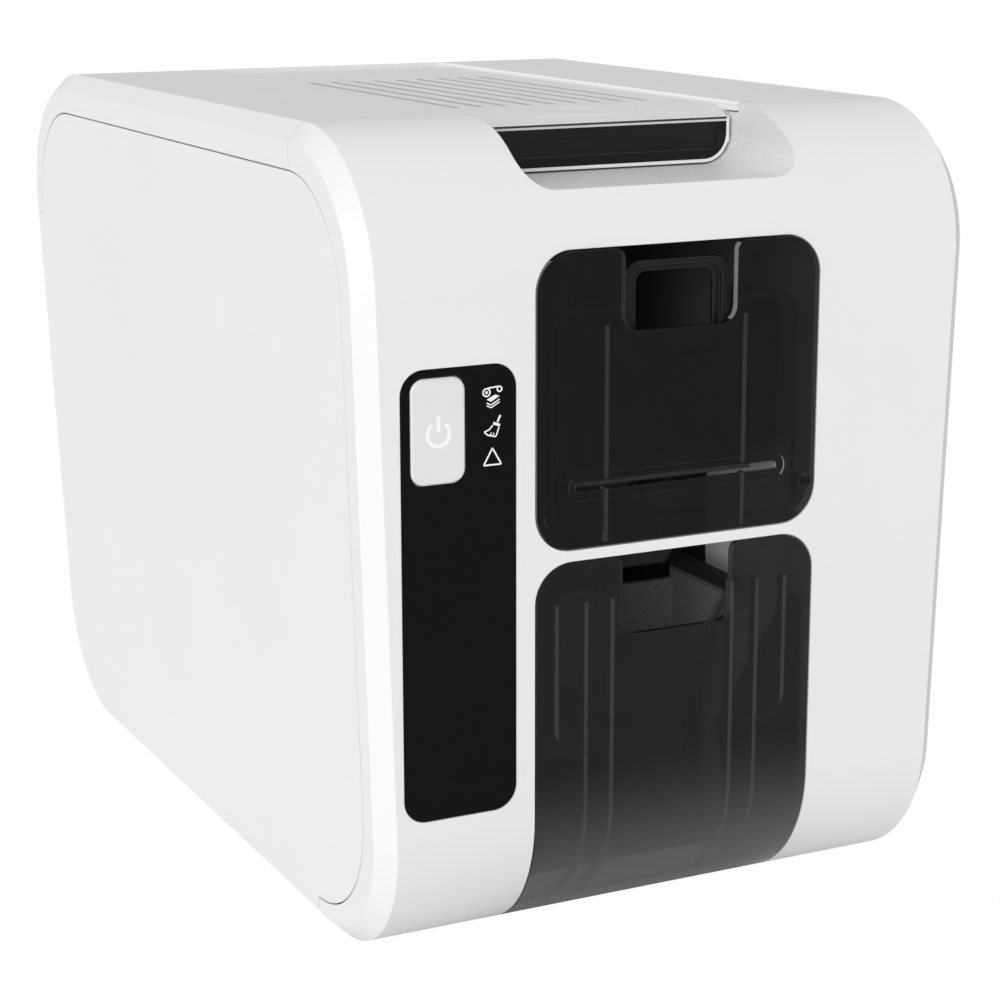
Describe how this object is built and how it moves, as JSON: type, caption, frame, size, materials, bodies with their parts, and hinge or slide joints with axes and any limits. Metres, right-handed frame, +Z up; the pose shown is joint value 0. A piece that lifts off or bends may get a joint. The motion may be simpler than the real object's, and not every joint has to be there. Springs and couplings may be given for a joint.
{
  "type": "id card printer",
  "caption": "Desktop card printer: white drafted case, smoked input and output doors, lifting lid that carries the print head, ribbon spools, geared rollers and a black control strip.",
  "frame": {"origin": "middle of the footprint at table height", "axes": "+X to the right seen from the front, +Y from the front doors to the rear panel, +Z up"},
  "size_m": [0.1998, 0.307, 0.242],
  "materials": {
    "white_cover": "fine grained moulded",
    "rear_cover": "fine grained moulded",
    "black_gloss": "polished",
    "button_plastic": "satin",
    "smoked_plastic": "polished, tinted",
    "frame_black": "satin",
    "bin_grey": "grained",
    "guide_black": "satin",
    "rubber_foot": "matt",
    "roller_rubber": "ground",
    "roller_core": "moulded",
    "sticky_roller": "tacky sleeve",
    "pinch_steel": "ground",
    "plate_steel": "zinc plated sheet",
    "bush_plastic": "moulded",
    "sink_aluminium": "extruded",
    "head_ceramic": "glazed",
    "motor_can": "drawn",
    "pinion_brass": "machined",
    "spool_plastic": "moulded",
    "ribbon_dark": "film",
    "board_green": "lacquered",
    "clear_guide": "clear",
    "port_steel": "plated"
  },
  "bodies": {
    "housing": {"base_pan": "rear_cover", "rubber_feet": "rubber_foot", "case_screws": "pinch_steel", "left_side_cover": "white_cover", "right_side_cover": "white_cover", "front_cover": "white_cover", "top_cover": "white_cover", "rear_panel": "rear_cover", "control_label": "black_gloss", "control_board": "board_green", "light_guides": "clear_guide", "upper_door_pins": "pinch_steel", "lower_door_pins": "pinch_steel", "lid_hinge_pins": "pinch_steel", "chassis_plate_left": "plate_steel", "chassis_plate_right": "plate_steel", "cross_bars": "pinch_steel", "roller_bushes": "bush_plastic", "card_hopper": "bin_grey", "card_guide": "guide_black", "card_chute": "bin_grey", "output_bin": "bin_grey", "drive_motor": "motor_can", "ribbon_motor": "motor_can", "ribbon_film": "ribbon_dark", "main_board": "board_green", "usb_port": "port_steel", "power_inlet": "frame_black", "fan_housing": "frame_black"},
    "button": {"power_button": "button_plastic"},
    "stack_door": {"upper_door": "smoked_plastic", "card_gate": "frame_black"},
    "bin_door": {"lower_door": "smoked_plastic"},
    "lid": {"lid_shell": "white_cover", "lid_grip": "black_gloss", "head_bracket": "plate_steel", "head_heat_sink": "sink_aluminium", "print_head": "head_ceramic"},
    "stack_weight": {"card_weight": "guide_black"},
    "diverter": {"diverter_flap": "guide_black"},
    "feed_roller": {"feed_shaft": "roller_core", "feed_tyre": "roller_rubber"},
    "entry_roller": {"entry_shaft": "roller_core", "entry_tyre": "roller_rubber"},
    "platen_roller": {"platen_shaft": "roller_core", "platen_tyre": "roller_rubber"},
    "exit_roller": {"exit_shaft": "roller_core", "exit_tyre": "roller_rubber"},
    "cleaner": {"cleaning_roller": "sticky_roller"},
    "pincher": {"pinch_roller": "pinch_steel"},
    "idler_front": {"idler_gear_front": "roller_core"},
    "idler_middle": {"idler_gear_middle": "roller_core"},
    "idler_rear": {"idler_gear_rear": "roller_core"},
    "motor_pinion": {"drive_pinion": "pinion_brass"},
    "ribbon_drive": {"ribbon_pinion": "pinion_brass"},
    "take_up": {"take_up_spool": "spool_plastic", "take_up_roll": "ribbon_dark"},
    "supply": {"supply_spool": "spool_plastic", "supply_roll": "ribbon_dark"},
    "fan": {"fan_rotor": "frame_black"}
  },
  "joints": [
    {"name": "lid_hinge", "type": "hinge", "parent": "housing", "child": "lid", "pos_m": [0, 0.0935, 0.228], "axis": [-1, 0, 0], "range_deg": [0, 75]},
    {"name": "upper_door_hinge", "type": "hinge", "parent": "housing", "child": "stack_door", "pos_m": [0, -0.1507, 0.1346], "axis": [1, 0, 0], "range_deg": [0, 85]},
    {"name": "lower_door_hinge", "type": "hinge", "parent": "housing", "child": "bin_door", "pos_m": [0, -0.1105, 0.045], "axis": [1, 0, 0], "range_deg": [0, 30]},
    {"name": "power_button_press", "type": "slide", "parent": "housing", "child": "button", "axis": [0, 1, 0], "range_m": [0, 0.0008], "stiffness_N_per_m": 500, "springref_m": -0.0008},
    {"name": "card_weight_lift", "type": "slide", "parent": "housing", "child": "stack_weight", "axis": [0, 0, 1], "range_m": [0, 0.05]},
    {"name": "diverter_lift", "type": "hinge", "parent": "housing", "child": "diverter", "pos_m": [0, -0.05, 0.1364], "axis": [1, 0, 0], "range_deg": [0, 15]},
    {"name": "platen_spin", "type": "hinge", "parent": "housing", "child": "platen_roller", "pos_m": [0, 0.0185, 0.1326], "axis": [1, 0, 0], "continuous": true},
    {"name": "feed_spin", "type": "hinge", "parent": "housing", "child": "feed_roller", "pos_m": [0, -0.0975, 0.1326], "axis": [1, 0, 0], "continuous": true},
    {"name": "entry_spin", "type": "hinge", "parent": "housing", "child": "entry_roller", "pos_m": [0, -0.0275, 0.1326], "axis": [1, 0, 0], "continuous": true},
    {"name": "exit_spin", "type": "hinge", "parent": "housing", "child": "exit_roller", "pos_m": [0, 0.0515, 0.1326], "axis": [1, 0, 0], "continuous": true},
    {"name": "idler_front_spin", "type": "hinge", "parent": "housing", "child": "idler_front", "pos_m": [0, -0.0625, 0.1326], "axis": [1, 0, 0], "continuous": true},
    {"name": "idler_middle_spin", "type": "hinge", "parent": "housing", "child": "idler_middle", "pos_m": [0, -0.0045, 0.1326], "axis": [1, 0, 0], "continuous": true},
    {"name": "idler_rear_spin", "type": "hinge", "parent": "housing", "child": "idler_rear", "pos_m": [0, 0.035, 0.1326], "axis": [1, 0, 0], "continuous": true},
    {"name": "motor_pinion_spin", "type": "hinge", "parent": "housing", "child": "motor_pinion", "pos_m": [0, -0.047, 0.10575], "axis": [1, 0, 0], "continuous": true},
    {"name": "cleaner_spin", "type": "hinge", "parent": "housing", "child": "cleaner", "pos_m": [0, -0.0275, 0.1496], "axis": [1, 0, 0], "continuous": true},
    {"name": "pincher_spin", "type": "hinge", "parent": "housing", "child": "pincher", "pos_m": [0, 0.0515, 0.1466], "axis": [1, 0, 0], "continuous": true},
    {"name": "take_up_spin", "type": "hinge", "parent": "housing", "child": "take_up", "pos_m": [0, -0.0325, 0.176], "axis": [1, 0, 0], "continuous": true},
    {"name": "ribbon_drive_spin", "type": "hinge", "parent": "housing", "child": "ribbon_drive", "pos_m": [0, -0.0495, 0.176], "axis": [1, 0, 0], "continuous": true},
    {"name": "supply_spin", "type": "hinge", "parent": "housing", "child": "supply", "pos_m": [0, 0.0615, 0.1715], "axis": [1, 0, 0], "continuous": true},
    {"name": "fan_spin", "type": "hinge", "parent": "housing", "child": "fan", "pos_m": [0, 0.1385, 0.1], "axis": [0, 1, 0], "continuous": true}
  ],
  "couplings": [
    {"joint": "feed_spin", "follows": "platen_spin", "ratio": 1},
    {"joint": "entry_spin", "follows": "platen_spin", "ratio": 1},
    {"joint": "exit_spin", "follows": "platen_spin", "ratio": 1},
    {"joint": "idler_front_spin", "follows": "platen_spin", "ratio": -0.4},
    {"joint": "idler_middle_spin", "follows": "platen_spin", "ratio": -0.76923},
    {"joint": "idler_rear_spin", "follows": "platen_spin", "ratio": -1.5385},
    {"joint": "motor_pinion_spin", "follows": "platen_spin", "ratio": 1.6667},
    {"joint": "ribbon_drive_spin", "follows": "take_up_spin", "ratio": -2.4}
  ]
}
